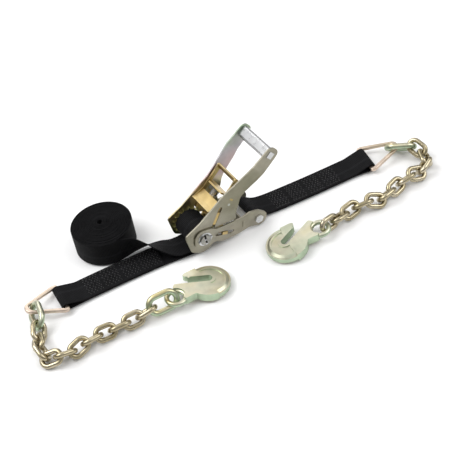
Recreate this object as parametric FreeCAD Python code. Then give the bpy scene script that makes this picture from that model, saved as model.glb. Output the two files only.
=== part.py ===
import FreeCAD, Part
import math
import os

os.makedirs("parts", exist_ok=True)
V = FreeCAD.Vector

# ---------------------------------------------------------------- driving dimensions (mm)
WEB = 50.0            # webbing width of the 2 inch strap
PLY = 2.6             # one layer of webbing
SPINDLE_Z = 33.2      # spindle axis above the ground
BASE_TILT = 9.4       # the base slopes down towards the anchor bolt (degrees)
HANDLE_ANGLE = 48.0   # handle above the base line, as the ratchet rests (degrees)
ANCHOR_X = 110.5      # spindle axis to anchor bolt axis
GRIP_U = 184.0        # spindle axis to grip bar
GEAR_IN = 25.9        # ratchet wheel, inner face from the centre plane
GEAR_OUT = 28.6
HP_IN = 28.9          # handle side plate, lower part
HP_OUT = 31.5
HP_FLARE = 11.6       # how far each handle plate flares outwards at the grip
BP_IN = 31.8          # base side plate
BP_OUT = 34.6
SPINDLE_R = 10.0
SPINDLE_END = 38.6
SLOT = 3.4            # slot between the two spindle halves
TEETH = 16
GEAR_TIP = 27.6
GEAR_ROOT = 21.4
COIL_R = 25.6         # webbing wound on the spindle
WIRE = 8.7            # small chain link
INNER_LEN = 25.5
INNER_WID = 12.6
BIG_WIRE = 10.3       # coupling link
BIG_LEN = 39.0
BIG_WID = 19.0
RING_BAR = 7.6        # delta ring bar, in its plane
RING_THICK = 6.4
RING_BASE = 68.0
RING_HEIGHT = 66.0
RING_APEX = 12.2      # centre line radius at the apex
EYE_R = 16.0          # grab hook eye, centre line radius
EYE_BAR = 8.6
HOOK_THICK = 15.0
PAWL_BACK = 5.6       # base pawl drawn back from the wheels
ROLL_R = 57.0         # rolled spare webbing
ROLL_X = -129.0
ROLL_Y = 103.0
CLEAR = 0.4           # play where links touch

shapes = {}


def unit(v):
    w = V(v)
    w.normalize()
    return w


def deg_dir(angle, z=0.0):
    a = math.radians(angle)
    return unit(V(math.cos(a), math.sin(a), z))


def outline(points):
    """A closed wire in the XZ plane from (x, z, corner radius) corners."""
    n = len(points)
    edges = []
    starts = []
    ends = []
    mids = []
    for i in range(n):
        p = V(points[i][0], 0, points[i][1])
        a = V(points[i - 1][0], 0, points[i - 1][1])
        b = V(points[(i + 1) % n][0], 0, points[(i + 1) % n][1])
        r = points[i][2]
        da = unit(a - p)
        db = unit(b - p)
        half = da.getAngle(db) / 2.0
        if r <= 0 or half > 1.56:
            starts.append(p)
            ends.append(p)
            mids.append(None)
            continue
        cut = r / math.tan(half)
        cut = min(cut, 0.49 * (a - p).Length, 0.49 * (b - p).Length)
        rr = cut * math.tan(half)
        centre = p + unit(da + db) * (rr / math.sin(half))
        starts.append(p + da * cut)
        ends.append(p + db * cut)
        mids.append(centre - unit(da + db) * rr)
    for i in range(n):
        if mids[i] is not None:
            edges.append(Part.Arc(starts[i], mids[i], ends[i]).toShape())
        nxt = starts[(i + 1) % n]
        if (nxt - ends[i]).Length > 1e-6:
            edges.append(Part.makeLine(ends[i], nxt))
    return Part.Wire(edges)


def slab(points, y0, y1):
    """A flat plate between y0 and y1 with the given outline."""
    face = Part.Face(outline(points))
    solid = face.extrude(V(0, y1 - y0, 0))
    solid.translate(V(0, y0, 0))
    return solid


def rod(r, y0, y1, x=0.0, z=0.0):
    return Part.makeCylinder(r, y1 - y0, V(x, y0, z), V(0, 1, 0))


def box(x0, x1, y0, y1, z0, z1):
    return Part.makeBox(x1 - x0, y1 - y0, z1 - z0, V(x0, y0, z0))


def capsule(p, q, r, y0, y1):
    """A slot-shaped prism from point p to point q (x, z)."""
    d = V(q[0] - p[0], 0, q[1] - p[1])
    n = unit(V(-d.z, 0, d.x)) * r
    a = V(p[0], 0, p[1])
    b = V(q[0], 0, q[1])
    e = unit(d) * r
    wire = Part.Wire([
        Part.makeLine(a + n, b + n),
        Part.Arc(b + n, b + e, b - n).toShape(),
        Part.makeLine(b - n, a - n),
        Part.Arc(a - n, a - e, a + n).toShape(),
    ])
    solid = Part.Face(wire).extrude(V(0, y1 - y0, 0))
    solid.translate(V(0, y0, 0))
    return solid


def soften(shape, size):
    """Rounds every edge where the shape allows it."""
    try:
        done = shape.makeFillet(size, shape.Edges)
        if done.isValid() and done.Volume > 0:
            return done
    except Exception:
        pass
    return shape


def to_base(shape):
    """From the ratchet's own frame (spindle at the origin) to its place on the ground."""
    s = shape.copy()
    s.rotate(V(0, 0, 0), V(0, 1, 0), BASE_TILT)
    s.translate(V(0, 0, SPINDLE_Z))
    return s


def to_handle(shape):
    """From the handle's frame (x towards the grip) to its place on the ground."""
    s = shape.copy()
    s.rotate(V(0, 0, 0), V(0, 1, 0), -HANDLE_ANGLE)
    return to_base(s)


def add(name, shape):
    if shape.ShapeType == "Compound" and len(shape.Solids) == 1:
        shape = shape.Solids[0]
    shapes[name] = shape


# ---------------------------------------------------------------- base of the ratchet
BASE_OUTLINE = [
    (-19.5, 19.5, 19.0), (12.0, 18.5, 8.0), (24.0, 12.6, 12.0), (52.0, 13.8, 20.0), (78.0, 16.5, 12.0),
    (92.0, 21.5, 12.0), (108.0, 20.0, 12.0), (127.0, 8.0, 12.0), (126.0, -10.5, 12.0), (112.0, -15.2, 10.0),
    (92.0, -10.5, 14.0), (70.0, -16.5, 16.0), (37.0, -19.5, 12.0), (20.0, -13.5, 8.0), (10.0, -18.8, 8.0),
    (-19.5, -19.5, 19.0),
]
BASE_SLOT_A = (25.0, 0.5)
BASE_SLOT_B = (55.0, -5.9)


def base_plate(side):
    plate = slab(BASE_OUTLINE, BP_IN, BP_OUT)
    plate = plate.cut(rod(SPINDLE_R + 0.08, BP_IN - 1, BP_OUT + 1))
    plate = plate.cut(rod(5.05, BP_IN - 1, BP_OUT + 1, ANCHOR_X, 0))
    plate = plate.cut(capsule(BASE_SLOT_A, BASE_SLOT_B, 3.9, BP_IN - 1, BP_OUT + 1))
    plate = plate.cut(box(76.95, 80.05, BP_IN - 1, BP_OUT + 1, -6.05, 6.05))
    if side < 0:
        plate = plate.mirror(V(0, 0, 0), V(0, 1, 0))
    return plate


add("base_plate_near", to_base(base_plate(-1)))
add("base_plate_far", to_base(base_plate(1)))

cross = box(77.0, 80.0, -27.5, 27.5, -9.0, 9.0)
cross = cross.fuse(box(77.0, 80.0, -BP_OUT - 1.0, BP_OUT + 1.0, -6.0, 6.0)).removeSplitter()
add("base_cross_plate", to_base(cross))

bolt = rod(5.0, -37.6, 34.9 + 5.2, ANCHOR_X, 0)
head = Part.makePolygon([V(ANCHOR_X + 8.4 * math.cos(math.radians(60 * k + 12)), -37.6,
                           8.4 * math.sin(math.radians(60 * k + 12))) for k in range(7)])
head = Part.Face(head).extrude(V(0, 2.9, 0))
add("anchor_bolt", to_base(bolt.fuse(head).removeSplitter()))
nut = Part.makePolygon([V(ANCHOR_X + 8.2 * math.cos(math.radians(60 * k + 5)), 34.7,
                          8.2 * math.sin(math.radians(60 * k + 5))) for k in range(7)])
nut = Part.Face(nut).extrude(V(0, 4.8, 0)).cut(rod(5.04, 30, 45, ANCHOR_X, 0))
add("anchor_lock_nut", to_base(nut))
sleeve = rod(7.2, -BP_IN + 0.1, BP_IN - 0.1, ANCHOR_X, 0).cut(rod(5.06, -40, 40, ANCHOR_X, 0))
add("anchor_sleeve", to_base(sleeve))


def pawl_dir():
    d = V(BASE_SLOT_B[0] - BASE_SLOT_A[0], 0, BASE_SLOT_B[1] - BASE_SLOT_A[1])
    return unit(d)


def along(start, direction, s, t):
    """A point s along the direction and t square to it, as (x, z)."""
    return (start[0] + direction.x * s - direction.z * t, start[1] + direction.z * s + direction.x * t)


def bar_between(start, direction, s0, s1, t0, t1, y0, y1):
    corners = [along(start, direction, s0, t0), along(start, direction, s1, t0),
               along(start, direction, s1, t1), along(start, direction, s0, t1)]
    return slab([(c[0], c[1], 0.0) for c in corners], y0, y1)


# locking plate that slides in the base slots: a nose in each ratchet wheel, ears out through the base plates
PD = pawl_dir()
P0 = along((0.0, 5.8), PD, PAWL_BACK, 0.0)
bp = bar_between(P0, PD, 29.2, 43.0, -3.0, 3.0, -24.6, 24.6)
bp = bar_between(P0, PD, 29.8, 41.0, -2.9, 2.9, -28.2, 28.2).fuse(bp)
for side in (-1, 1):
    ya, yb = sorted((side * 25.9, side * 28.5))
    nose = slab([along(P0, PD, 22.4, -0.9) + (0.5,), along(P0, PD, 31.0, -2.9) + (0.0,),
                 along(P0, PD, 31.0, 2.9) + (0.0,), along(P0, PD, 23.4, 2.2) + (0.5,)], ya, yb)
    ya, yb = sorted((side * 28.2, side * (BP_IN + 0.1)))
    neck = bar_between(P0, PD, 31.9, 35.4, -2.9, 1.0, ya, yb)
    ya, yb = sorted((side * BP_IN, side * 35.6))
    ear = bar_between(P0, PD, 30.2, 41.0, -2.9, 2.9, ya, yb)
    bp = bp.fuse(nose).fuse(neck).fuse(ear)
tongue = bar_between(P0, PD, 43.0, 56.0, -1.5, 1.5, -5.0, 5.0)
bp = bp.fuse(tongue).removeSplitter()
add("base_pawl", to_base(bp))


def spring(radius, wire, length, turns):
    helix = Part.makeHelix(length / turns, length, radius)
    start = V(radius, 0, 0)
    circle = Part.Wire(Part.makeCircle(wire, start, V(0, 1, 0)))
    return Part.Wire(helix).makePipeShell([circle], True, True)


def laid_spring(radius, wire, length, turns, point, direction):
    s = spring(radius, wire, length, turns)
    s.rotate(V(0, 0, 0), V(0, 0, 1), 90)
    turn = FreeCAD.Rotation(V(0, 0, 1), direction)
    s.Placement = FreeCAD.Placement(point, turn).multiply(s.Placement)
    return s


sp0 = along(P0, PD, 44.0, 0.0)
BS_LEN = 30.6 - PAWL_BACK
add("base_pawl_spring", to_base(laid_spring(6.2, 0.7, BS_LEN, 6, V(sp0[0], 0, sp0[1]), PD)))

# ---------------------------------------------------------------- handle
HANDLE_OUTLINE = [
    (-14.0, 38.0, 6.0), (20.0, 29.0, 14.0), (45.0, 26.0, 20.0), (70.0, 23.5, 20.0), (108.0, 18.0, 30.0),
    (150.0, 15.6, 30.0), (176.0, 12.5, 10.0), (198.5, 10.5, 11.5), (198.5, -13.5, 11.5), (178.0, -14.2, 6.0),
    (137.0, -14.0, 30.0), (107.0, -11.5, 12.0), (94.0, -13.0, 10.0), (78.0, -22.0, 8.0), (63.0, -28.5, 6.0),
    (55.5, -37.5, 2.0), (33.5, -15.2, 3.0), (26.0, -10.0, 4.0), (15.5, -27.5, 18.0), (-24.0, -24.0, 20.0),
    (-33.0, 4.0, 12.0),
]
DRIVE_A = (25.0, -1.4)
DRIVE_B = (60.0, 9.6)


def handle_plate(side):
    flat = slab(HANDLE_OUTLINE, 20.0, 60.0)
    bend = [(-60.0, HP_IN), (88.0, HP_IN), (152.0, HP_IN + HP_FLARE), (230.0, HP_IN + HP_FLARE + 0.2),
            (230.0, HP_OUT + HP_FLARE + 0.2), (151.6, HP_OUT + HP_FLARE), (87.6, HP_OUT), (-60.0, HP_OUT)]
    wire = Part.makePolygon([V(p[0], p[1], -80) for p in bend + bend[:1]])
    strip = Part.Face(wire).extrude(V(0, 0, 160))
    plate = flat.common(strip)
    plate = plate.cut(rod(SPINDLE_R + 0.08, 20, 60))
    plate = plate.cut(capsule(DRIVE_A, DRIVE_B, 3.3, 20, 60))
    plate = plate.cut(box(GRIP_U - 6.05, GRIP_U + 6.05, 20, 60, -6.55, 4.55))
    plate = plate.cut(box(80.95, 84.05, 20, 60, -3.05, 4.55))
    plate = plate.cut(rod(2.52, 20, 60, 72.7, -1.6))
    if side < 0:
        plate = plate.mirror(V(0, 0, 0), V(0, 1, 0))
    return plate


add("handle_plate_near", to_handle(handle_plate(-1)))
add("handle_plate_far", to_handle(handle_plate(1)))

HALF_GRIP = HP_IN + HP_FLARE - 0.35
grip = slab([(GRIP_U - 11.0, 6.2, 5.0), (GRIP_U + 11.0, 6.2, 5.0), (GRIP_U + 11.0, -8.2, 5.0),
             (GRIP_U - 11.0, -8.2, 5.0)], -HALF_GRIP, HALF_GRIP)
grip = grip.fuse(box(GRIP_U - 6.0, GRIP_U + 6.0, -HALF_GRIP - 4.2, HALF_GRIP + 4.2, -6.5, 4.5))
add("grip_bar", to_handle(grip.removeSplitter()))

bracket = box(81.0, 84.0, -28.6, 28.6, -5.0, 6.2)
bracket = bracket.fuse(box(81.0, 84.0, -HP_OUT - 0.1, HP_OUT + 0.1, -3.0, 4.5))
bracket = bracket.fuse(box(81.0, 84.0, -20.5, 20.5, 6.0, 19.5)).removeSplitter()
add("handle_bracket", to_handle(bracket))

for side, tag in ((-1, "near"), (1, "far")):
    ya, yb = sorted((side * (HP_IN - 1.6), side * HP_OUT))
    rivet = rod(2.5, ya, yb, 72.7, -1.6)
    ya, yb = sorted((side * (HP_IN - 1.6), side * (HP_IN - 0.05)))
    rivet = rivet.fuse(rod(4.0, ya, yb, 72.7, -1.6)).removeSplitter()
    add("handle_rivet_" + tag, to_handle(rivet))

# drive pawl: ears in the handle slots, a lower plate, two side flanges and the finger bar
DD = unit(V(DRIVE_B[0] - DRIVE_A[0], 0, DRIVE_B[1] - DRIVE_A[1]))
Q0 = (0.0, -9.25)
dp = None
for side in (-1, 1):
    ya, yb = sorted((side * 25.9, side * 28.5))
    nose = slab([along(Q0, DD, 29.7, 1.2) + (0.5,), along(Q0, DD, 36.9, -2.6) + (0.0,),
                 along(Q0, DD, 36.9, 2.9) + (0.0,), along(Q0, DD, 30.4, 3.0) + (0.5,)], ya, yb)
    ya, yb = sorted((side * 25.9, side * 28.6))
    root = bar_between(Q0, DD, 36.0, 55.0, -2.6, 3.0, ya, yb)
    ya, yb = sorted((side * 28.4, side * 31.4))
    ear = root.fuse(bar_between(Q0, DD, 31.0, 55.0, -2.6, 3.0, ya, yb))
    ya, yb = sorted((side * 25.4, side * 28.4))
    rib = slab([(52.0, 3.5, 1.0), (62.0, 8.6, 3.0), (112.0, 8.6, 3.0), (118.5, 12.0, 2.0), (117.0, 19.0, 3.0),
                (104.0, 17.0, 4.0), (66.0, 16.5, 8.0), (46.0, 22.0, 3.0), (43.0, 12.0, 2.0)], ya, yb)
    part = nose.fuse(ear).fuse(rib)
    dp = part if dp is None else dp.fuse(part)
lower = slab([(41.5, 23.2, 0.8), (44.0, 25.4, 0.8), (50.5, 19.8, 2.0), (66.0, 13.6, 0.6), (64.8, 10.8, 0.6),
              (48.2, 17.3, 2.0)], -26.4, 26.4)
finger = slab([(109.0, 8.8, 1.2), (112.0, 8.8, 1.2), (119.0, 16.6, 1.2), (117.6, 18.8, 1.2), (115.5, 18.2, 1.2)],
              -26.4, 26.4)
dp = dp.fuse(lower).fuse(finger)
dp = dp.fuse(box(64.0, 76.0, -5.0, 5.0, 10.8, 13.4)).removeSplitter()
add("drive_pawl", to_handle(dp))
add("drive_pawl_spring", to_handle(laid_spring(6.4, 0.7, 12.6, 5, V(67.2, 0, 12.2), V(1, 0, 0))))

# ---------------------------------------------------------------- spindle, ratchet wheels and wound webbing
for k, tag in ((0, "front"), (1, "rear")):
    half = rod(SPINDLE_R, -SPINDLE_END, SPINDLE_END)
    cut = box(-15, 15, -50, 50, -15, SLOT / 2.0)
    half = half.cut(cut)
    half = half.cut(Part.makeCylinder(1.55, 40, V(0, -36.9, -20), V(0, 0, 1)))
    half = half.cut(Part.makeCylinder(1.55, 40, V(0, 36.9, -20), V(0, 0, 1)))
    half.rotate(V(0, 0, 0), V(0, 1, 0), 78 + 180 * k)
    add("spindle_half_" + tag, to_base(half))

PHASE = 0.0


def wheel(side):
    pts = []
    for k in range(TEETH):
        for off, r in ((0.0, GEAR_ROOT), (8.5, GEAR_TIP - 1.0), (10.6, GEAR_TIP), (12.4, GEAR_TIP - 0.4),
                       (14.6, GEAR_ROOT + 0.4)):
            a = math.radians(-PHASE - 360.0 * k / TEETH - off)
            pts.append(V(r * math.cos(a), 0, r * math.sin(a)))
    pts.append(pts[0])
    body = Part.Face(Part.makePolygon(pts)).extrude(V(0, GEAR_OUT - GEAR_IN, 0))
    body.translate(V(0, GEAR_IN, 0))
    body = body.cut(rod(SPINDLE_R + 0.05, 20, 40))
    if side < 0:
        body = body.mirror(V(0, 0, 0), V(0, 1, 0))
    return body


add("ratchet_wheel_near", to_base(wheel(-1)))
add("ratchet_wheel_far", to_base(wheel(1)))

coil = rod(COIL_R, -WEB / 2, WEB / 2).cut(rod(SPINDLE_R + 0.05, -40, 40))
web_in_slot = box(-10.2, 10.2, -WEB / 2, WEB / 2, -SLOT / 2 + 0.1, SLOT / 2 - 0.1)
web_in_slot.rotate(V(0, 0, 0), V(0, 1, 0), 78)
coil = coil.fuse(web_in_slot).removeSplitter()
add("wound_webbing", to_base(coil))

for side, tag in ((-1, "near"), (1, "far")):
    ya, yb = sorted((side * (BP_OUT + 0.05), side * (BP_OUT + 0.65)))
    add("spindle_washer_" + tag, to_base(rod(13.5, ya, yb).cut(rod(SPINDLE_R + 0.05, -50, 50))))
    pin = Part.makeCylinder(1.5, 27.0, V(0, side * 36.9, -13.5), V(0, 0, 1))
    pin.rotate(V(0, 0, 0), V(0, 1, 0), 78)
    add("cotter_pin_" + tag, to_base(pin))


# ---------------------------------------------------------------- webbing
def band(stations, width, thick):
    """A flat band through stations (x, y, z, heading), each section square to its heading."""
    wires = []
    for x, y, z, heading in stations:
        across = deg_dir(heading + 90.0) * (width / 2.0)
        c = V(x, y, z)
        up = V(0, 0, thick / 2.0)
        pts = [c - across - up, c + across - up, c + across + up, c - across + up, c - across - up]
        wires.append(Part.makePolygon(pts))
    return Part.makeLoft(wires, True, True)


# short anchor strap: loop round the sleeve, doubled band on the ground, loop round the ring's bar
RING_R_C = (349.0, -27.0)
LOOP_RING = 5.7
ca = math.cos(math.radians(BASE_TILT))
sa = math.sin(math.radians(BASE_TILT))
AX = ANCHOR_X * ca
AZ = SPINDLE_Z - ANCHOR_X * sa
DOUBLE = 2 * PLY
RHEAD = -11.0
loop_a = Part.makeCylinder(7.35 + PLY, WEB, V(AX, -WEB / 2, AZ), V(0, 1, 0))
across_r = deg_dir(RHEAD + 90.0)
rc0 = V(RING_R_C[0], RING_R_C[1], LOOP_RING + PLY + 0.1)
loop_b = Part.makeCylinder(LOOP_RING + PLY, WEB, rc0 - across_r * (WEB / 2), across_r)
strap = band([(AX + 2, 0, AZ, 0), (AX + 14.0, -0.4, 9.4, -3), (AX + 36.0, -3.0, 3.6, -5), (230.0, -13.0, 3.2, -7),
              (318.0, -22.0, 4.2, -9), (347.0, -26.6, 7.6, RHEAD)], WEB, DOUBLE)
strap = strap.fuse(loop_a).fuse(loop_b)
strap = strap.cut(Part.makeCylinder(7.35, 80, V(AX, -40, AZ), V(0, 1, 0)))
strap = strap.cut(Part.makeCylinder(LOOP_RING, 90, rc0 - across_r * 45, across_r))
add("anchor_strap", strap.removeSplitter())

# long strap: from under the wound coil to the left ring, doubled and sewn for most of its length
RING_L_C = (-256.5, 27.0)
LHEAD = 176.0
across_l = deg_dir(LHEAD + 90.0)
lc0 = V(RING_L_C[0], RING_L_C[1], LOOP_RING + PLY + 0.1)
loop_c = Part.makeCylinder(LOOP_RING + PLY, WEB, lc0 - across_l * (WEB / 2), across_l)
strap = band([(-12.0, 1.0, 4.2, 174), (-36.0, 5.0, 3.0, 172), (-80.0, 12.5, 3.0, 172), (-150.0, 19.5, 3.2, 174),
              (-226.0, 24.5, 4.2, LHEAD), (-254.5, 26.8, 7.6, LHEAD)], WEB, DOUBLE)
strap = strap.fuse(loop_c)
strap = strap.cut(Part.makeCylinder(LOOP_RING, 90, lc0 - across_l * 45, across_l))
add("long_strap", strap.removeSplitter())

# spare webbing: tail from the ratchet, twisting on to its edge, into the roll
def ribbon(stations, width, thick):
    """Sections given as (x, y, z, heading, lean): lean 0 is flat, 90 stands on edge."""
    wires = []
    for x, y, z, heading, lean in stations:
        side = deg_dir(heading + 90.0)
        a = math.radians(lean)
        across = (side * math.cos(a) + V(0, 0, 1) * math.sin(a)) * (width / 2.0)
        normal = (V(0, 0, 1) * math.cos(a) - side * math.sin(a)) * (thick / 2.0)
        c = V(x, y, z)
        pts = [c - across - normal, c + across - normal, c + across + normal, c - across + normal,
               c - across - normal]
        wires.append(Part.makePolygon(pts))
    return Part.makeLoft(wires, True, True)


tail = ribbon([(-18.0, 1.5, 9.0, 174, 0), (-42.0, 5.0, 9.4, 168, 3), (-62.0, 18.0, 14.6, 160, 20),
               (-82.0, 33.0, 21.0, 155, 48), (-100.0, 42.0, 24.8, 160, 70),
               (-121.0, 46.6, 25.6, 172, 86)], WEB, PLY)
roll = Part.makeCylinder(ROLL_R - 2.0, WEB, V(ROLL_X, ROLL_Y, 0.3), V(0, 0, 1))
core = Part.makeCylinder(5.0, WEB + 2, V(ROLL_X, ROLL_Y + 6.0, 0), V(0, 0, 1))
roll = roll.cut(core)
tail = tail.cut(roll)
add("spare_tail", tail)
add("spare_roll", roll)


# ---------------------------------------------------------------- delta rings
def ring(base_mid, z_base, heading, z_tip):
    """A rounded triangle of flat bar: base bar in the webbing loop, apex towards the chain."""
    b = RING_BASE / 2.0
    outer = [(-RING_BAR / 2, -b, 6.0), (-RING_BAR / 2, b, 6.0), (6.0, b, 8.0), (RING_HEIGHT, 9.0, 14.0),
             (RING_HEIGHT, -9.0, 14.0), (6.0, -b, 8.0)]
    k = RING_BAR
    inner = [(RING_BAR / 2, -b + k, 2.0), (RING_BAR / 2, b - k, 2.0), (5.0, b - k, 3.0),
             (RING_HEIGHT - k - 1.0, 6.6, 7.5), (RING_HEIGHT - k - 1.0, -6.6, 7.5), (5.0, -b + k, 3.0)]
    solid = slab(outer, -RING_THICK / 2, RING_THICK / 2).cut(slab(inner, -10, 10))
    solid = soften(solid, 2.0)
    slope = math.degrees(math.asin((z_tip - z_base) / RING_HEIGHT))
    solid.rotate(V(0, 0, 0), V(1, 0, 0), 90)
    solid.rotate(V(0, 0, 0), V(0, 1, 0), -slope)
    solid.rotate(V(0, 0, 0), V(0, 0, 1), heading)
    solid.translate(V(base_mid[0], base_mid[1], z_base))
    t = deg_dir(heading)
    along_t = t * math.cos(math.radians(slope)) + V(0, 0, 1) * math.sin(math.radians(slope))
    centre = V(base_mid[0], base_mid[1], z_base) + along_t * (RING_HEIGHT - RING_BAR / 2 - RING_APEX)
    return solid, centre, along_t


# ---------------------------------------------------------------- chain links
def link_solid(wire, inner_len, inner_wid, centre, t, w):
    """One closed link of round wire, t along it and w across it in its plane."""
    rc = (inner_wid + wire) / 2.0
    half = (inner_len + wire) / 2.0 - rc
    a = centre + t * half
    b = centre - t * half
    path = Part.Wire([
        Part.makeLine(b + w * rc, a + w * rc),
        Part.Arc(a + w * rc, a + t * rc, a - w * rc).toShape(),
        Part.makeLine(a - w * rc, b - w * rc),
        Part.Arc(b - w * rc, b - t * rc, b + w * rc).toShape(),
    ])
    profile = Part.Wire(Part.makeCircle(wire / 2.0, b + w * rc, t))
    return path.makePipeShell([profile], True, True)


def link_axes(t, tilt):
    side = unit(V(-t.y, t.x, 0))
    up = t.cross(side)
    a = math.radians(tilt)
    return side * math.cos(a) + up * math.sin(a)


def meet(a, b, slack):
    """Where the arc centre of link b lands when it is drawn away from link a, less the slack."""
    q = a["n"].cross(b["n"])
    q.normalize()
    if q.dot(a["t"] + b["t"]) < 0:
        q = q * -1.0
    reach = a["rc"] + b["rc"] - (a["d"] + b["d"]) / 2.0 - CLEAR - slack
    return a["far"] + q * reach


def route_point(route, s):
    for i in range(len(route) - 1):
        p = V(route[i][0], route[i][1], 0)
        q = V(route[i + 1][0], route[i + 1][1], 0)
        d = (q - p).Length
        if s <= d or i == len(route) - 2:
            return p + (q - p) * (s / d)
        s -= d
    return p


def rest_height(kind, tilt):
    wire, iw = (BIG_WIRE, BIG_WID) if kind == "B" else (WIRE, INNER_WID)
    return wire / 2.0 + (iw + wire) / 2.0 * abs(math.sin(math.radians(tilt))) + 0.3


def hang(prev, aim, tilt, wire, rc, length, slack):
    """One link drawn away from the one before, its far end steered at the aim point."""
    t = unit(aim - prev["far"])
    b = None
    for k in range(14):
        t = unit(unit(V(t.x, t.y, 0)) + V(0, 0, max(-0.3, min(0.3, t.z))))
        w = link_axes(t, tilt)
        b = {"t": t, "n": t.cross(w), "w": w, "rc": rc, "d": wire}
        b["start"] = meet(prev, b, slack)
        b["far"] = b["start"] + t * length
        b["centre"] = b["start"] + t * (length / 2.0)
        t = unit(t * 0.5 + unit(aim - b["start"]) * 0.5)
    t = b["t"]
    b["low"] = b["centre"].z - rc * abs(b["w"].z) - abs(t.z) * length / 2.0 - wire / 2.0
    return b


def lay_chain(first, kinds, tilts, route, slack0, names):
    """Lays links one after another along a route on the ground, each hung on the one before."""
    prev = first
    done = []
    travelled = 0.0
    for i in range(len(names)):
        kind = kinds[i]
        tilt = tilts[i]
        wire, il, iw = (BIG_WIRE, BIG_LEN, BIG_WID) if kind == "B" else (WIRE, INNER_LEN, INNER_WID)
        rc = (iw + wire) / 2.0
        length = il + wire - 2 * rc
        travelled += length + prev["rc"] + rc - (prev["d"] + wire) / 2.0 - CLEAR
        if prev is first:
            travelled = 0.0
        aim = route_point(route, travelled)
        j = min(i + 1, len(names) - 1)
        aim.z = 0.35 * rest_height(kind, tilt) + 0.65 * rest_height(kinds[j], tilts[j])
        if j == len(names) - 1:
            aim.z = aim.z + 2.5
        slack = slack0 if prev is first else 0.0
        b = hang(prev, aim, tilt, wire, rc, length, slack)
        for k in range(12):
            if b["low"] > 0.1:
                break
            aim.z = aim.z + 0.7
            tilt = tilt * 0.988
            b = hang(prev, aim, tilt, wire, rc, length, slack)
        b["name"] = names[i]
        b["prev"] = prev
        b["tilt"] = tilt
        add(names[i], link_solid(wire, il, iw, b["centre"], b["t"], b["w"]))
        done.append(b)
        prev = b
    return done


# ---------------------------------------------------------------- grab hooks
def hook_solid():
    """Grab hook lying flat: eye ring at the origin, body along +X, throat opening to +Z."""
    h = HOOK_THICK / 2.0
    body = rod(37.0, -h, h, 64.0, -3.0)
    claw = slab([(66.0, 33.8, 6.0), (40.0, 36.6, 6.0), (35.0, 35.2, 2.0), (36.0, 30.0, 2.0), (60.0, 8.0, 0.0),
                 (84.0, 16.0, 0.0)], -h, h)
    neck = slab([(4.0, 17.0, 5.0), (12.0, 24.0, 6.0), (24.0, 17.0, 2.0), (60.0, -2.0, 0.0), (60.0, -36.0, 0.0),
                 (40.0, -30.0, 9.0), (31.0, -17.0, 9.0), (8.0, -17.6, 5.0)], -h, h)
    body = body.fuse(claw).fuse(neck)
    throat = capsule((65.5, 0.6), (5.5, 33.9), 7.0, -20, 20)
    body = body.cut(throat)
    body = body.cut(slab([(-30, 60, 0), (33.0, 60, 0), (33.0, 24.5, 0), (-30, 24.5, 0)], -20, 20))
    body = body.removeSplitter()
    slope = math.radians(38.0)
    for side in (-1, 1):
        y0, y1 = (h - 1.4, h + 1) if side > 0 else (-h - 1, -h + 1.4)
        pocket = rod(26.5, y0, y1, 64.0, -3.0).cut(capsule((65.5, 0.6), (5.5, 33.9), 12.5, -20, 20))
        pocket = pocket.cut(box(0, 62.0, -20, 20, -60, 60))
        body = body.cut(pocket)
        # the outer rim falls away
        keep = Part.makeCylinder(80.0, 10.0).cut(Part.makeCone(34.0, 34.0 - 10.0 / math.tan(slope), 10.0))
        keep.rotate(V(0, 0, 0), V(1, 0, 0), -90 if side > 0 else 90)
        keep.translate(V(64.0, side * (h - 3.4), -3.0))
        keep = keep.common(box(60.0, 140.0, -30, 30, -70, 70))
        body = body.cut(keep)
    wedge = Part.Face(Part.makePolygon([V(26, h - 3.2, 0), V(62, h + 0.02, 0), V(62, h + 5, 0), V(26, h + 5, 0),
                                        V(26, h - 3.2, 0)])).extrude(V(0, 0, 60))
    wedge.translate(V(0, 0, 22.0))
    body = body.cut(wedge).cut(wedge.mirror(V(0, 0, 0), V(0, 1, 0)))
    body = soften(body, 1.3)
    body = body.cut(rod(EYE_R - 0.5, -20, 20))
    eye = Part.makeTorus(EYE_R, EYE_BAR / 2.0, V(0, 0, 0), V(0, 1, 0))
    return body.fuse(eye).removeSplitter()


def bow_gap(last, eye, t, side):
    """Smallest distance between the centre lines of a link's end and of the eye hanging in it."""
    link_line = []
    for k in range(-9, 10):
        a = math.radians(10.0 * k)
        out = last["t"] * (last["rc"] * math.cos(a)) + last["w"] * (last["rc"] * math.sin(a))
        link_line.append(last["far"] + out)
    for k in range(1, 7):
        for s in (-1, 1):
            link_line.append(last["far"] - last["t"] * (1.5 * k) + last["w"] * (s * last["rc"]))
    gap = 100.0
    for k in range(-15, 16):
        a = math.radians(3.0 * k)
        p = eye + (side * math.sin(a) - t * math.cos(a)) * EYE_R
        gap = min(gap, min((p - q).Length for q in link_line))
    return gap


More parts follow.
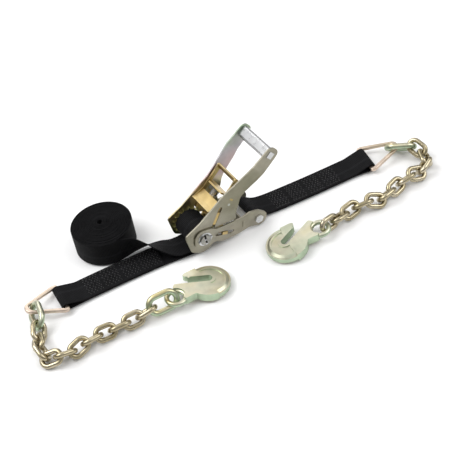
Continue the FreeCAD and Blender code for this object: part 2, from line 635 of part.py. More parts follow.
def place_hook(name, last, heading, flip):
    """Hangs the hook in the end of the last link, low in its bow, with the body resting on the ground."""
    room = (EYE_BAR + last["d"]) / 2.0 + CLEAR
    below = max(0.0, last["rc"] - room / abs(last["w"].z)) + 0.3
    gap = 0.0
    while gap < room and below > 0.0:
        below -= 0.3
        low = last["w"] * math.copysign(below, last["w"].z)
        drop = (last["far"].z - low.z - HOOK_THICK / 2.0 - 0.2) / 96.0
        t = unit(deg_dir(heading) - V(0, 0, drop))
        normal = unit(V(0, 0, 1) - t * t.z)
        reach = last["rc"]
        while gap < room and reach > -6.0:
            reach -= 0.25
            eye = last["far"] + last["t"] * reach - low + t * EYE_R
            gap = bow_gap(last, eye, t, normal.cross(t))
    b = {"t": t, "n": normal, "w": normal.cross(t), "rc": EYE_R, "d": EYE_BAR, "prev": last, "name": name}
    s = hook_solid()
    s.rotate(V(0, 0, 0), V(1, 0, 0), -90 if flip else 90)
    s.rotate(V(0, 0, 0), V(0, 1, 0), math.degrees(math.asin(drop)))
    s.rotate(V(0, 0, 0), V(0, 0, 1), heading)
    s.translate(eye)
    b["far"] = eye
    b["centre"] = eye
    b["start"] = eye
    add(name, s)
    return b


# left side: ring, coupling link, 11 small links, coupling link, hook
Z_RING = LOOP_RING + PLY + 0.1
solid, centre, t = ring(RING_L_C, Z_RING, LHEAD, 19.5)
add("delta_ring_left", solid)
ring_l = {"t": t, "n": t.cross(link_axes(t, 0.0)), "rc": RING_APEX, "d": RING_BAR, "far": centre}
names = ["coupling_left_ring"] + ["link_left_%02d" % k for k in range(1, 12)] + ["coupling_left_hook"]
ROUTE_LEFT = [(-311.0, 4.0), (-322.0, -22.0), (-333.0, -46.0), (-337.5, -62.0), (-334.0, -79.0), (-320.0, -91.0),
              (-298.0, -94.0), (-250.0, -92.0), (-200.0, -97.0), (-140.0, -102.5), (-60.0, -110.0)]
tilts = [58, -42, 45, -52, 30, -48] + [45, -45] * 2 + [45, -38, 64]
left = lay_chain(ring_l, "B" + "S" * 11 + "B", tilts, ROUTE_LEFT, 6.0, names)
left.append(place_hook("grab_hook_left", left[-1], 3.0, True))

# right side: ring, coupling link, 12 small links, hook
solid, centre, t = ring(RING_R_C, Z_RING, RHEAD, 17.5)
add("delta_ring_right", solid)
ring_r = {"t": t, "n": t.cross(link_axes(t, 0.0)), "rc": RING_APEX, "d": RING_BAR, "far": centre}
names = ["coupling_right_ring"] + ["link_right_%02d" % k for k in range(1, 13)]
ROUTE_RIGHT = [(421.0, -57.0), (434.0, -80.0), (429.0, -104.0), (410.0, -117.0), (383.0, -119.0),
               (357.0, -120.0), (331.0, -127.0), (305.0, -131.0), (283.0, -124.0), (262.0, -119.0),
               (236.0, -121.0), (200.0, -126.0), (150.0, -133.0)]
right = lay_chain(ring_r, "B" + "S" * 12, [-54, 42] + [-45, 45] * 4 + [-45, 30, -74], ROUTE_RIGHT, 7.5, names)
right.append(place_hook("grab_hook_right", right[-1], 170.0, False))

# ---------------------------------------------------------------- stand everything centred on the ground
bb = FreeCAD.BoundBox()
for s in shapes.values():
    bb.add(s.BoundBox)
shift = V(-(bb.XMin + bb.XMax) / 2.0, -(bb.YMin + bb.YMax) / 2.0, -bb.ZMin)
for name in shapes:
    s = shapes[name]
    s.translate(shift)
    s.exportStep("parts/" + name + ".step")
print("pieces", len(shapes), "shift", shift)
for name in shapes:
    if not shapes[name].isValid() or len(shapes[name].Solids) != 1:
        print("CHECK", name, shapes[name].isValid(), len(shapes[name].Solids))
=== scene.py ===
"""Black webbing ratchet strap with chain tails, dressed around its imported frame."""
import math
import random

import bmesh
import bpy
from mathutils import Matrix, Vector


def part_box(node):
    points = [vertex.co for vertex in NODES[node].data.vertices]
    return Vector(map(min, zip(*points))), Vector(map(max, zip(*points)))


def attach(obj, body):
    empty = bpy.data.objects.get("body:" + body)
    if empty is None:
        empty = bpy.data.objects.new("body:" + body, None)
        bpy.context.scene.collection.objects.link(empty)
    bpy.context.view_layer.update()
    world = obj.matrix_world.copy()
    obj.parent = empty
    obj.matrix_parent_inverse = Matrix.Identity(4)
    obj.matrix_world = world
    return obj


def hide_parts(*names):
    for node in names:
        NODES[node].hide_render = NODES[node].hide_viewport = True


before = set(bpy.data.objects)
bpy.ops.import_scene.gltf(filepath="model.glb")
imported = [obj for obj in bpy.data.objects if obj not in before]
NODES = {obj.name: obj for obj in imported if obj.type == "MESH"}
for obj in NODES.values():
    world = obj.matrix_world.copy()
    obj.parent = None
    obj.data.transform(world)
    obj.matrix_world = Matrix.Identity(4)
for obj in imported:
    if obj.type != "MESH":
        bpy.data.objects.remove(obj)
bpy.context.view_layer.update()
MM = 0.001

# ---------------------------------------------------------------- places taken from the frame
near_lo, near_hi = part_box("spindle_washer_near")
far_lo, far_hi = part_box("spindle_washer_far")
SPINDLE = (near_lo + near_hi + far_lo + far_hi) / 4.0
sleeve_lo, sleeve_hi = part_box("anchor_sleeve")
ANCHOR = (sleeve_lo + sleeve_hi) / 2.0
SPINDLE_HEIGHT = 33.2  # mm
GROUND = Vector((SPINDLE.x, SPINDLE.y, SPINDLE.z - SPINDLE_HEIGHT * MM))

# ---------------------------------------------------------------- driving sizes (mm and degrees)
WEB = 50.0            # webbing width
PLY = 2.6             # room that one layer takes
THICK = 2.2           # one layer of webbing
RING_LOOP = 5.7       # inside radius of the loop round a ring's bar
SLEEVE_LOOP = 7.35    # inside radius of the loop round the anchor sleeve
RING_WRAP = (108.0, -216.0)      # where a band meets the ring's bar, and how far it goes round
SLEEVE_WRAP = (-82.0, -196.0)
RIB = 2.4             # distance between the cross ribs of the weave
YARN = 1.25           # distance between the lengthwise yarns
TRACERS = (-7.0, -4.6)    # the tracer threads, measured from the middle of the webbing
TRACER_HALF = 0.35

# places run from the ground under the spindle, and a heading says which way a band points
STRAP_L = [(-14.0, 1.2, 4.4, 174), (-36.0, 5.0, 3.0, 172), (-80.0, 12.5, 3.0, 172),
           (-150.0, 19.5, 3.2, 174), (-226.0, 24.5, 4.2, 176)]
CUT_END_X = -69.0     # where the long strap's upper layer ends
RING_L = (-256.5, 27.0, 8.4)
HEAD_L = 176.0
STRAP_R = [(124.0, -0.3, 10.4, -2), (146.5, -3.0, 4.2, -5), (230.0, -13.0, 3.2, -7),
           (318.0, -22.0, 4.2, -9)]
RING_R = (349.0, -27.0, 8.4)
HEAD_R = -11.0

COIL_TURNS = 6        # webbing wound on the spindle
COIL_INNER = 11.6
COIL_OUTER = 24.2
COIL_WIDTH = 49.0
COIL_THICK = 2.0

# the tail twists on to its edge: the last number leans it, in degrees
TAIL = [(-12.0, 1.0, 9.6, 174, 0), (-42.0, 5.0, 9.4, 168, 3), (-62.0, 18.0, 14.6, 160, 20),
        (-82.0, 33.0, 21.0, 155, 48), (-100.0, 42.0, 24.8, 160, 70), (-121.0, 46.6, 25.6, 172, 86)]
ROLL_CENTRE = (-129.0, 103.0)
ROLL_HEIGHT = 25.9    # middle of the roll above the ground
ROLL_INNER = 5.0
ROLL_OUTER = 55.6
ROLL_TURNS = 19
ROLL_DRIFT = 6.0      # the roll's core lies this far behind its middle
SPARE_WIDTH = 49.4
SPARE_THICK = 2.1

ROW_STEP = 6.2        # between the crosswise rows of stitches
ROW_BEADS = 9
ROW_START = -19.0
BEAD_STEP = 4.6
BEAD_LENGTH = 3.4
SEAM = -21.0          # the lengthwise seam, from the middle of the webbing
SEAM_STEP = 4.0
SEAM_BEAD = 3.2
THREAD_RADIUS = 0.55

# ---------------------------------------------------------------- camera (metres from the ground point)
CAMERA_PLACE = (-0.5519, -1.3252, 1.4010)
CAMERA_RIGHT = (0.83924, -0.52708, -0.13366)
CAMERA_UP = (0.45220, 0.53999, 0.70988)
CAMERA_LENS = 90.98   # mm on a sensor 36 mm wide


# ---------------------------------------------------------------- node helpers
class Shader:
    """A short way to write a node tree."""

    def __init__(self, name):
        self.material = bpy.data.materials.new(name)
        self.material.use_nodes = True
        self.tree = self.material.node_tree
        self.tree.nodes.clear()
        self.out = self.node("ShaderNodeOutputMaterial")
        self.main = self.node("ShaderNodeBsdfPrincipled")
        self.join(self.main, "BSDF", self.out, "Surface")

    def node(self, kind, **values):
        n = self.tree.nodes.new(kind)
        for key, value in values.items():
            setattr(n, key, value)
        return n

    def join(self, a, a_socket, b, b_socket):
        self.tree.links.new(a.outputs[a_socket], b.inputs[b_socket])

    def feed(self, node, slot, value):
        """Sets a socket to a number or colour, or joins it to a (node, socket) pair."""
        if isinstance(value, tuple) and isinstance(value[0], bpy.types.Node):
            self.join(value[0], value[1], node, slot)
        else:
            node.inputs[slot].default_value = value

    def noise(self, scale, detail=3.0):
        where = self.node("ShaderNodeTexCoord")
        tex = self.node("ShaderNodeTexNoise")
        tex.inputs["Scale"].default_value = scale
        tex.inputs["Detail"].default_value = detail
        self.join(where, "Object", tex, "Vector")
        return tex

    def ramp(self, source, stops):
        ramp = self.node("ShaderNodeValToRGB")
        elements = ramp.color_ramp.elements
        while len(elements) < len(stops):
            elements.new(0.5)
        for element, (place, colour) in zip(elements, stops):
            element.position = place
            element.color = (*colour, 1.0)
        self.feed(ramp, "Fac", source)
        return ramp, "Color"

    def math(self, operation, a, b):
        n = self.node("ShaderNodeMath", operation=operation)
        self.feed(n, 0, a)
        self.feed(n, 1, b)
        return n, 0

    def mix(self, share, a, b, blend="MIX"):
        n = self.node("ShaderNodeMix", data_type="RGBA", blend_type=blend)
        self.feed(n, "Factor", share)
        self.feed(n, "A", a)
        self.feed(n, "B", b)
        return n, "Result"

    def stretch(self, source, low, high, to_low=0.0, to_high=1.0):
        """Maps low..high on to to_low..to_high."""
        n = self.node("ShaderNodeMapRange")
        self.feed(n, "Value", source)
        n.inputs["From Min"].default_value = low
        n.inputs["From Max"].default_value = high
        n.inputs["To Min"].default_value = to_low
        n.inputs["To Max"].default_value = to_high
        return n, "Result"

    def bump(self, height, strength, distance):
        n = self.node("ShaderNodeBump")
        n.inputs["Strength"].default_value = strength
        n.inputs["Distance"].default_value = distance
        self.feed(n, "Height", height)
        self.join(n, "Normal", self.main, "Normal")


def grey(value):
    return (value, value, value)


def plated(name, stops, rough, patch=26.0, rough_spread=0.05, shaded_sides=None, heights=None):
    """Zinc-plated steel with soft patches of colour, uneven gloss and a little grime.

    The stops run through the patches, or up the piece when heights gives its lowest and highest
    place in metres. The colour given for upright faces is a painted shade, darker and greener than the
    level faces.
    """
    s = Shader(name)
    patches = (s.noise(patch, 2.0), "Fac")
    where = s.node("ShaderNodeTexCoord")
    if heights:
        split = s.node("ShaderNodeSeparateXYZ")
        s.join(where, "Object", split, "Vector")
        level = s.stretch((split, "Z"), *heights)
        wave = s.math("MULTIPLY", s.math("SUBTRACT", patches, 0.5), 0.35)
        colour = s.ramp(s.math("ADD", level, wave), stops)
    else:
        colour = s.ramp(patches, stops)
    # painted shade: upright faces get a darker, greener colour than level faces
    if shaded_sides:
        facing = s.node("ShaderNodeSeparateXYZ")
        s.join(where, "Normal", facing, "Vector")
        level_faces = s.math("ABSOLUTE", (facing, "Z"), 0.0)
        upright = s.ramp(level_faces, [(0.35, grey(1.0)), (0.85, grey(0.0))])
        colour = s.mix(upright, colour, (*shaded_sides, 1.0))
    grime = s.ramp((s.noise(70.0, 3.0), "Fac"), [(0.30, grey(0.82)), (0.62, grey(1.0))])
    s.feed(s.main, "Base Color", s.mix(0.8, colour, grime, "MULTIPLY"))
    gloss = (s.noise(90.0, 4.0), "Fac")
    s.feed(s.main, "Roughness", s.stretch(gloss, 0.3, 0.7, rough - rough_spread, rough + rough_spread))
    s.main.inputs["Metallic"].default_value = 1.0
    return s.material


def webbing_material(name):
    """Black polyester webbing, laid by the strap's own UV: ribs with painted highlights on their tops and
    painted shade between them, yarns and two tracer threads.
    """
    s = Shader(name)
    uv = s.node("ShaderNodeUVMap", uv_map="weave")
    split = s.node("ShaderNodeSeparateXYZ")
    s.join(uv, "UV", split, "Vector")
    length, width = (split, "X"), (split, "Y")
    yarn = s.math("SINE", s.math("MULTIPLY", width, 2.0 * math.pi / YARN), 0.0)
    # the ribs step back and forth from yarn to yarn
    step = s.math("SINE", s.math("MULTIPLY", width, math.pi / YARN), 0.0)
    turn = s.math("MULTIPLY", length, 2.0 * math.pi / RIB)
    rib = s.math("SINE", s.math("ADD", turn, s.math("MULTIPLY", step, 0.9)), 0.0)
    weave = s.math("ADD", s.math("MULTIPLY", rib, 0.42), s.math("MULTIPLY", yarn, 0.16))
    height = s.math("ADD", weave, 0.5)
    # painted light: the colour follows the weave height, so rib tops get a painted highlight and the
    # grooves painted shade
    weave_light_and_shade = s.ramp(height, [(0.0, (0.0008, 0.0008, 0.0010)), (0.55, (0.0032, 0.0032, 0.0037)),
                            (1.0, (0.0170, 0.0170, 0.0190))])
    dust = s.ramp((s.noise(55.0, 4.0), "Fac"), [(0.35, grey(0.75)), (0.7, grey(1.25))])
    cloth = s.mix(1.0, weave_light_and_shade, dust, "MULTIPLY")
    lines = []
    for middle in TRACERS:
        away = s.math("ABSOLUTE", s.math("SUBTRACT", width, middle), 0.0)
        lines.append(s.math("LESS_THAN", away, TRACER_HALF))
    tracer = s.math("MULTIPLY", s.math("MAXIMUM", lines[0], lines[1]), 0.55)
    s.feed(s.main, "Base Color", s.mix(tracer, cloth, (0.030, 0.030, 0.034, 1.0)))
    s.main.inputs["Roughness"].default_value = 0.78
    s.main.inputs["Specular IOR Level"].default_value = 0.14
    s.bump(height, 0.7, 0.0005)
    return s.material


def thread_material():
    """Black bonded thread, a little paler than the webbing."""
    s = Shader("bonded_thread")
    tone = s.ramp((s.noise(900.0, 2.0), "Fac"), [(0.3, grey(0.020)), (0.7, grey(0.048))])
    s.feed(s.main, "Base Color", tone)
    s.main.inputs["Roughness"].default_value = 0.5
    return s.material


CHAIN = plated("yellow_zinc_chain", [(0.28, (0.36, 0.305, 0.18)), (0.50, (0.46, 0.40, 0.265)),
                                     (0.72, (0.56, 0.50, 0.37))], 0.28, 34.0)
# the forgings' upright faces get a painted shade colour
FORGED = plated("yellow_zinc_forging", [(0.28, (0.62, 0.55, 0.30)), (0.46, (0.68, 0.65, 0.50)),
                                        (0.62, (0.60, 0.63, 0.48)), (0.78, (0.70, 0.66, 0.52))],
                0.36, 16.0, shaded_sides=(0.46, 0.56, 0.40))
RING = plated("rose_zinc_ring", [(0.28, (0.62, 0.52, 0.38)), (0.55, (0.66, 0.54, 0.45)),
                                 (0.78, (0.56, 0.54, 0.38))], 0.34, 14.0)
PLATE = plated("olive_zinc_plate", [(0.25, (0.30, 0.28, 0.215)), (0.50, (0.36, 0.34, 0.275)),
                                    (0.78, (0.41, 0.375, 0.29))], 0.38, 9.0)
RAINBOW = plated("rainbow_zinc_plate", [(0.05, (0.34, 0.36, 0.16)), (0.24, (0.60, 0.51, 0.27)),
                                        (0.42, (0.62, 0.55, 0.36)), (0.54, (0.56, 0.44, 0.45)),
                                        (0.74, (0.50, 0.48, 0.50)), (0.90, (0.38, 0.46, 0.34))],
                 0.34, 20.0, heights=(0.02, 0.165))
GOLD = plated("gold_zinc", [(0.28, (0.52, 0.38, 0.16)), (0.52, (0.62, 0.48, 0.23)),
                            (0.76, (0.68, 0.56, 0.32))], 0.34, 18.0)
WHEEL = plated("green_gold_wheel", [(0.28, (0.34, 0.35, 0.18)), (0.55, (0.46, 0.44, 0.25)),
                                    (0.76, (0.56, 0.50, 0.30))], 0.36, 30.0)
BRIGHT = plated("bright_zinc", [(0.28, (0.60, 0.61, 0.62)), (0.60, (0.70, 0.70, 0.70))],
                0.29, 14.0, rough_spread=0.03)
STEEL = plated("spindle_steel", [(0.28, (0.24, 0.24, 0.22)), (0.65, (0.42, 0.41, 0.38))], 0.34, 60.0)
SPRING = plated("spring_wire", [(0.3, grey(0.26)), (0.7, grey(0.45))], 0.30, 60.0)
WEBBING = webbing_material("black_webbing")
THREAD = thread_material()


ROUND_STOCK = ("link_", "coupling", "delta_ring", "grab_hook")
SURFACES = {
    "link_": CHAIN, "delta_ring": RING, "grab_hook": FORGED, "coupling": FORGED,
    "drive_pawl_spring": SPRING, "base_pawl_spring": SPRING,
    "drive_pawl": GOLD, "handle_bracket": GOLD, "base_pawl": GOLD, "ratchet_wheel": WHEEL,
    "handle_plate_far": RAINBOW, "handle_plate_near": PLATE, "base_plate": PLATE, "base_cross_plate": PLATE,
    "grip_bar": BRIGHT, "anchor_bolt": BRIGHT, "anchor_lock_nut": BRIGHT, "handle_rivet": BRIGHT,
    "spindle_washer": BRIGHT, "cotter_pin": BRIGHT, "anchor_sleeve": STEEL, "spindle_half": STEEL,
}


def smooth_round(obj):
    """Round stock keeps its own edges, and only the rest is smoothed."""
    edges = obj.modifiers.new("edges", "EDGE_SPLIT")
    edges.split_angle = math.radians(28)


def break_edges(obj):
    """Stamped and turned pieces get a small broken edge that catches the light."""
    bevel = obj.modifiers.new("broken edge", "BEVEL")
    bevel.width = 0.00035
    bevel.segments = 2
    bevel.limit_method = "ANGLE"
    bevel.angle_limit = math.radians(35)
    bevel.harden_normals = False
    normals = obj.modifiers.new("normals", "WEIGHTED_NORMAL")
    normals.weight = 60


def dress_cad():
    """Gives every carried-over CAD node its own surface."""
    for name, obj in NODES.items():
        starts = [start for start in SURFACES if name.startswith(start)]
        if not starts:
            continue
        obj.data.materials.clear()
        obj.data.materials.append(SURFACES[max(starts, key=len)])
        for face in obj.data.polygons:
            face.use_smooth = True
            face.material_index = 0
        weld = obj.modifiers.new("weld", "WELD")
        weld.merge_threshold = 0.00001
        if name.startswith(ROUND_STOCK) or "spring" in name:
            smooth_round(obj)
        else:
            break_edges(obj)


dress_cad()


# ---------------------------------------------------------------- webbing built as ribbons
def place(x, y, z):
    """A point given in millimetres from the ground under the spindle."""
    return GROUND + Vector((x, y, z)) * MM


def heading_vector(angle):
    a = math.radians(angle)
    return Vector((math.cos(a), math.sin(a), 0.0))


def smooth_rows(rows, step):
    """Catmull-Rom through rows of numbers; the first three are a place in mm, so the step is a length."""
    out = []
    for i in range(len(rows) - 1):
        p0 = rows[max(i - 1, 0)]
        p1, p2 = rows[i], rows[i + 1]
        p3 = rows[min(i + 2, len(rows) - 1)]
        reach = math.dist(p1[:3], p2[:3])
        n = max(1, round(reach / step))
        for k in range(n):
            t = k / n
            out.append([0.5 * (2 * b + (c - a) * t + (2 * a - 5 * b + 4 * c - d) * t * t
                               + (3 * b - a - 3 * c + d) * t ** 3)
                        for a, b, c, d in zip(p0, p1, p2, p3)])
    out.append(list(rows[-1]))
    return out


def section(width, thick, cells=16):
    """Closed outline of one layer: (across, out) pairs in mm, edges rounded, faces a little crowned."""
    half = width / 2.0
    top = []
    for k in range(cells + 1):
        t = -1.0 + 2.0 * k / cells
        a = t * (half - thick * 0.5)
        top.append((a, thick / 2.0 * (1.0 - 0.06 * t * t)))
    edge = [(half - thick * 0.18, thick * 0.33), (half, 0.0), (half - thick * 0.18, -thick * 0.33)]
    bottom = [(-a, -n) for a, n in top]
    other = [(-a, -n) for a, n in edge]
    return top + edge + bottom + other


def ribbon(name, frames, thick=THICK, width=WEB, closed=False):
    """A webbing layer through frames (centre in metres, across, out), and its length in metres.

    Its UV holds the length and width in mm.
    """
    outline = section(width, thick)
    mesh = bpy.data.meshes.new(name)
    bm = bmesh.new()
    rings = []
    lengths = [0.0]
    for i, (centre, across, out) in enumerate(frames):
        rings.append([bm.verts.new(centre + across * (a * MM) + out * (n * MM)) for a, n in outline])
        if i:
            lengths.append(lengths[-1] + (centre - frames[i - 1][0]).length / MM)
    uv = bm.loops.layers.uv.new("weave")
    count = len(outline)
    total = len(frames) if closed else len(frames) - 1
    for i in range(total):
        j = (i + 1) % len(frames)
        end_u = lengths[j] if j else lengths[-1] + (frames[0][0] - frames[-1][0]).length / MM
        for k in range(count):
            m = (k + 1) % count
            face = bm.faces.new((rings[i][k], rings[i][m], rings[j][m], rings[j][k]))
            face.smooth = True
            for loop, (u, v) in zip(face.loops, ((lengths[i], outline[k][0]), (lengths[i], outline[m][0]),
                                                 (end_u, outline[m][0]), (end_u, outline[k][0]))):
                loop[uv].uv = (u, v)
    if not closed:
        for ring in (rings[0], rings[-1]):
            cap = bm.faces.new(ring)
            for loop in cap.loops:
                loop[uv].uv = (0.0, 0.0)
    bmesh.ops.recalc_face_normals(bm, faces=bm.faces)
    bm.to_mesh(mesh)
    bm.free()
    obj = bpy.data.objects.new(name, mesh)
    bpy.context.scene.collection.objects.link(obj)
    mesh.materials.append(WEBBING)
    return obj, lengths[-1] * MM


def band_frames(stations, offset, step=2.0):
    """Frames along (x, y, z, heading) stations, moved square to the band by the offset in mm."""
    frames = []
    rows = smooth_rows(stations, step)
    for i, (x, y, z, heading) in enumerate(rows):
        before, after = rows[max(i - 1, 0)], rows[min(i + 1, len(rows) - 1)]
        forward = Vector((after[0] - before[0], after[1] - before[1], after[2] - before[2])).normalized()
        across = heading_vector(heading + 90.0)
        out = forward.cross(across).normalized()
        frames.append((place(x, y, z) + out * (offset * MM), across, out))
    return frames


def loop_frames(centre, across, forward, radius, start, sweep, steps=26):
    """Frames round a bar: start and sweep in degrees, 90 is on top, 0 is ahead."""
    frames = []
    for k in range(steps + 1):
        a = math.radians(start + sweep * k / steps)
        out = forward * math.cos(a) + Vector((0, 0, 1)) * math.sin(a)
        frames.append((centre + out * (radius * MM), across, out))
    return frames


def wrap(top, bottom, centre, heading, radius):
    """Top layer, round the bar, back along the bottom layer."""
    forward = heading_vector(heading)
    across = heading_vector(heading + 90.0)
    turn = loop_frames(place(*centre), across, forward, radius, *RING_WRAP)
    return top + turn + [(c, a, -n) for c, a, n in reversed(bottom)]


def finish_path(frames):
    """Recomputes the outward direction from the path, so that the layer stays square to it."""
    out = []
    for i, (centre, across, _) in enumerate(frames):
        before, after = frames[max(i - 1, 0)][0], frames[min(i + 1, len(frames) - 1)][0]
        forward = (after - before).normalized()
        out.append((centre, across, forward.cross(across).normalized()))
    return out


def relax(frames, rounds=3):
    """Evens out the joins between runs and loops; ends stay."""
    for _ in range(rounds):
        moved = list(frames)
        for i in range(1, len(frames) - 1):
            c = frames[i][0] * 0.5 + (frames[i - 1][0] + frames[i + 1][0]) * 0.25
            moved[i] = (c, frames[i][1], frames[i][2])
        frames = moved
    return frames


def build_long_strap():
    """From its cut end on top, round the ring's bar, back underneath to the spindle."""
    top_all = band_frames(STRAP_L, PLY / 2.0)
    cut_x = place(CUT_END_X, 0, 0).x
    top = [f for f in top_all if f[0].x < cut_x]
    bottom = band_frames(STRAP_L, -PLY / 2.0)
    frames = wrap(top, bottom, RING_L, HEAD_L, RING_LOOP + PLY / 2.0)
    strap, length = ribbon("long_strap_webbing", finish_path(relax(frames, 4)))
    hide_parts("long_strap")
    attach(strap, "long_webbing")
    return top


def build_anchor_strap():
    """A sewn endless band from the anchor sleeve to the right ring."""
    top = band_frames(STRAP_R, PLY / 2.0)
    bottom = band_frames(STRAP_R, -PLY / 2.0)
    frames = wrap(top, bottom, RING_R, HEAD_R, RING_LOOP + PLY / 2.0)
    back = loop_frames(Vector((ANCHOR.x, SPINDLE.y, ANCHOR.z)), heading_vector(90.0), heading_vector(0.0),
                       SLEEVE_LOOP + PLY / 2.0, *SLEEVE_WRAP)
    frames = frames + back
    count = len(frames)
    for _ in range(4):
        frames = [(frames[i][0] * 0.5 + (frames[i - 1][0] + frames[(i + 1) % count][0]) * 0.25,
                   frames[i][1], frames[i][2]) for i in range(count)]
    square = []
    for i in range(count):
        forward = (frames[(i + 1) % count][0] - frames[i - 1][0]).normalized()
        square.append((frames[i][0], frames[i][1], forward.cross(frames[i][1]).normalized()))
    strap, length = ribbon("anchor_strap_webbing", square, closed=True)
    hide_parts("anchor_strap")
    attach(strap, "anchor_webbing")
    return top


def build_coil():
    """Webbing wound on the spindle, a spiral from the slot outwards."""
    steps = 72
    frames = []
    for k in range(COIL_TURNS * steps + 1):
        a = 2.0 * math.pi * k / steps
        t = k / (COIL_TURNS * steps)
        r = COIL_INNER + (COIL_OUTER - COIL_INNER) * t + 0.25 * math.sin(2.0 * a + 0.6) * t
        out = Vector((math.cos(a), 0.0, -math.sin(a)))
        side = 0.5 * math.sin(a * 0.37 + 1.0)
        frames.append((SPINDLE + out * (r * MM) + Vector((0, side * MM, 0)), Vector((0, 1, 0)), out))
    coil, length = ribbon("wound_webbing_layers", finish_path(frames), thick=COIL_THICK, width=COIL_WIDTH)
    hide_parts("wound_webbing")
    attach(coil, "spindle")


def build_spare():
    """The loose tail, twisting on to its edge, and the roll of spare webbing, as one piece."""
    frames = []
    for x, y, z, heading, lean in smooth_rows(TAIL, 2.5)[:-1]:
        a = math.radians(lean)
        side = heading_vector(heading + 90.0)
        across = side * math.cos(a) + Vector((0, 0, 1)) * math.sin(a)
        out = Vector((0, 0, 1)) * math.cos(a) - side * math.sin(a)
        frames.append((place(x, y, z), across, out))
    steps = 80
    cx, cy = ROLL_CENTRE
    random.seed(7)
    lift = [random.uniform(-0.9, 0.9) for _ in range(ROLL_TURNS + 2)]
    for k in range(ROLL_TURNS * steps + 1):
        turn = k / steps
        t = k / (ROLL_TURNS * steps)
        a = -math.pi / 2.0 - 2.0 * math.pi * turn
        r = ROLL_OUTER + (ROLL_INNER - ROLL_OUTER) * t
        loose = 1.0 + 0.012 * math.sin(2.0 * a + 0.7) * (1 - t) + 0.006 * math.sin(3.0 * a)
        whole = int(turn)
        part = turn - whole
        up = lift[whole] * (1 - part) + lift[whole + 1] * part
        x = cx + r * loose * math.cos(a)
        y = cy + ROLL_DRIFT * t + r * loose * math.sin(a)
        out = Vector((math.cos(a), math.sin(a), 0.0))
        frames.append((place(x, y, ROLL_HEIGHT + up), Vector((0, 0, 1)), out))
    spare, length = ribbon("spare_webbing", frames, thick=SPARE_THICK, width=SPARE_WIDTH)
    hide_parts("spare_tail", "spare_roll")
    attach(spare, "long_webbing")


# ---------------------------------------------------------------- stitching
def stitch(bm, centre, along, across, up, length, radius):
    """One stitch: a short bead of thread sunk at both ends."""
    rings = []
    for t, fat in ((-1.0, 0.35), (-0.55, 0.9), (0.0, 1.0), (0.55, 0.9), (1.0, 0.35)):
        ring = []
        sink = -0.35 * radius * (abs(t) ** 3)
        for k in range(6):
            a = 2.0 * math.pi * k / 6
            ring.append(bm.verts.new(centre + along * (t * length / 2.0) + up * sink
                                     + across * (math.cos(a) * radius * fat)
                                     + up * (math.sin(a) * radius * fat * 0.8)))
        rings.append(ring)
    for i in range(4):
        for k in range(6):
            m = (k + 1) % 6
            bm.faces.new((rings[i][k], rings[i][m], rings[i + 1][m], rings[i + 1][k])).smooth = True
    bm.faces.new(rings[0])
    bm.faces.new(list(reversed(rings[-1])))


def sew(name, frames, blocks, body):
    """Blocks of crosswise zigzag rows, with a seam near one edge; frames is the layer that is sewn."""
    bm = bmesh.new()
    starts = [0.0]
    for a, b in zip(frames, frames[1:]):
        starts.append(starts[-1] + (b[0] - a[0]).length / MM)

    def at(distance):
        i = min(range(len(starts)), key=lambda n: abs(starts[n] - distance))
        centre, across, out = frames[i]
        nxt = frames[min(i + 1, len(frames) - 1)][0]
        prev = frames[max(i - 1, 0)][0]
        return centre, across, out, (nxt - prev).normalized()

    def bead(distance, offset, direction_across, length):
        centre, across, out, along = at(distance)
        spot = centre + across * (offset * MM) + out * ((THICK / 2.0 + 0.1) * MM)
        run = (across * direction_across + along * (1.0 - abs(direction_across))).normalized()
        stitch(bm, spot, run, run.cross(out), out, length * MM, THREAD_RADIUS * MM)

    for start, rows in blocks:
        for row in range(rows):
            distance = start + row * ROW_STEP
            slant = 0.85 if row % 2 else -0.85
            for k in range(ROW_BEADS):
                shift = 1.2 if k % 2 else -1.2
                bead(distance + shift, ROW_START + k * BEAD_STEP, slant, BEAD_LENGTH)
        for k in range(int(rows * ROW_STEP / SEAM_STEP)):
            bead(start + k * SEAM_STEP, SEAM, 0.0, SEAM_BEAD)
    bmesh.ops.recalc_face_normals(bm, faces=bm.faces)
    mesh = bpy.data.meshes.new(name)
    bm.to_mesh(mesh)
    bm.free()
    obj = bpy.data.objects.new(name, mesh)
    bpy.context.scene.collection.objects.link(obj)
    mesh.materials.append(THREAD)
    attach(obj, body)


long_top = build_long_strap()
anchor_top = build_anchor_strap()
build_coil()
build_spare()
# each block of stitches is (distance from the start of the layer, rows)
sew("long_strap_stitching", long_top, [(6.0, 6), (46.0, 5), (82.0, 5), (116.0, 5)], "long_webbing")
sew("anchor_strap_stitching", anchor_top, [(34.0, 5), (68.0, 5), (104.0, 5), (138.0, 5)], "anchor_webbing")


# ---------------------------------------------------------------- floor, light and camera
def build_floor():
    """A plain pale floor, wide enough for low views."""
    mesh = bpy.data.meshes.new("floor")
    half = 24.0
    corners = [(-half, -half, 0), (half, -half, 0), (half, half, 0), (-half, half, 0)]
    mesh.from_pydata(corners, [], [(0, 1, 2, 3)])
    floor = bpy.data.objects.new("floor", mesh)
    bpy.context.scene.collection.objects.link(floor)
    s = Shader("pale_floor")
    s.main.inputs["Base Color"].default_value = (0.92, 0.92, 0.92, 1.0)
    s.main.inputs["Roughness"].default_value = 0.8
    s.main.inputs["Specular IOR Level"].default_value = 0.1
    mesh.materials.append(s.material)


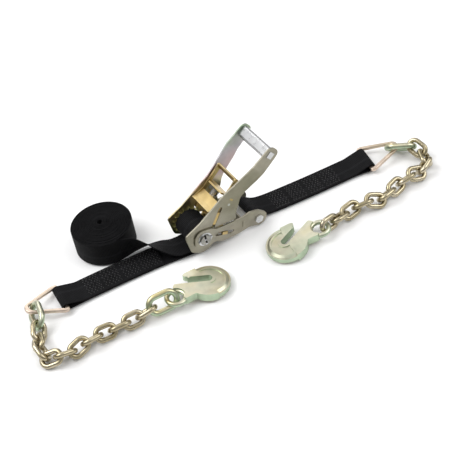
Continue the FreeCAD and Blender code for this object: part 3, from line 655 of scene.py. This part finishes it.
def area(name, place_at, aim, size, power):
    data = bpy.data.lights.new(name, "AREA")
    data.shape = "DISK"
    data.size = size
    data.energy = power
    lamp = bpy.data.objects.new(name, data)
    lamp.location = place_at
    lamp.rotation_mode = "QUATERNION"
    lamp.rotation_quaternion = (Vector(place_at) - Vector(aim)).to_track_quat("Z", "Y")
    bpy.context.scene.collection.objects.link(lamp)


def build_light():
    """Three soft lamps under a sky that darkens towards the horizon."""
    area("key_soft", (-1.6, 0.9, 2.6), (0, 0, 0), 2.4, 60.0)
    area("fill_soft", (1.9, -1.2, 2.2), (0, 0, 0), 2.4, 34.0)
    area("rim_soft", (0.4, 2.4, 1.5), (0, 0, 0.05), 1.8, 16.0)
    world = bpy.data.worlds.new("studio")
    bpy.context.scene.world = world
    world.use_nodes = True
    tree = world.node_tree
    back = tree.nodes["Background"]
    where = tree.nodes.new("ShaderNodeTexCoord")
    split = tree.nodes.new("ShaderNodeSeparateXYZ")
    ramp = tree.nodes.new("ShaderNodeValToRGB")
    tree.links.new(where.outputs["Generated"], split.inputs["Vector"])
    tree.links.new(split.outputs["Z"], ramp.inputs["Fac"])
    tree.links.new(ramp.outputs["Color"], back.inputs["Color"])
    stops = ramp.color_ramp.elements
    stops[0].position = 0.0
    stops[0].color = (0.05, 0.05, 0.055, 1.0)
    stops[1].position = 0.75
    stops[1].color = (1.0, 1.0, 1.0, 1.0)
    low = stops.new(0.22)
    low.color = (0.22, 0.22, 0.23, 1.0)
    back.inputs["Strength"].default_value = 0.75


def build_camera():
    """Looks down at the strap from the front left, a little rolled."""
    data = bpy.data.cameras.new("camera")
    data.sensor_width = 36.0
    data.lens = CAMERA_LENS
    data.clip_end = 20.0
    cam = bpy.data.objects.new("camera", data)
    right = Vector(CAMERA_RIGHT)
    back = right.cross(Vector(CAMERA_UP)).normalized()
    up = back.cross(right).normalized()
    turn = Matrix((right.normalized(), up, back)).transposed().to_4x4()
    cam.matrix_world = Matrix.Translation(GROUND + Vector(CAMERA_PLACE)) @ turn
    bpy.context.scene.collection.objects.link(cam)
    bpy.context.scene.camera = cam


build_floor()
build_light()
build_camera()
bpy.context.scene.view_settings.view_transform = "Standard"
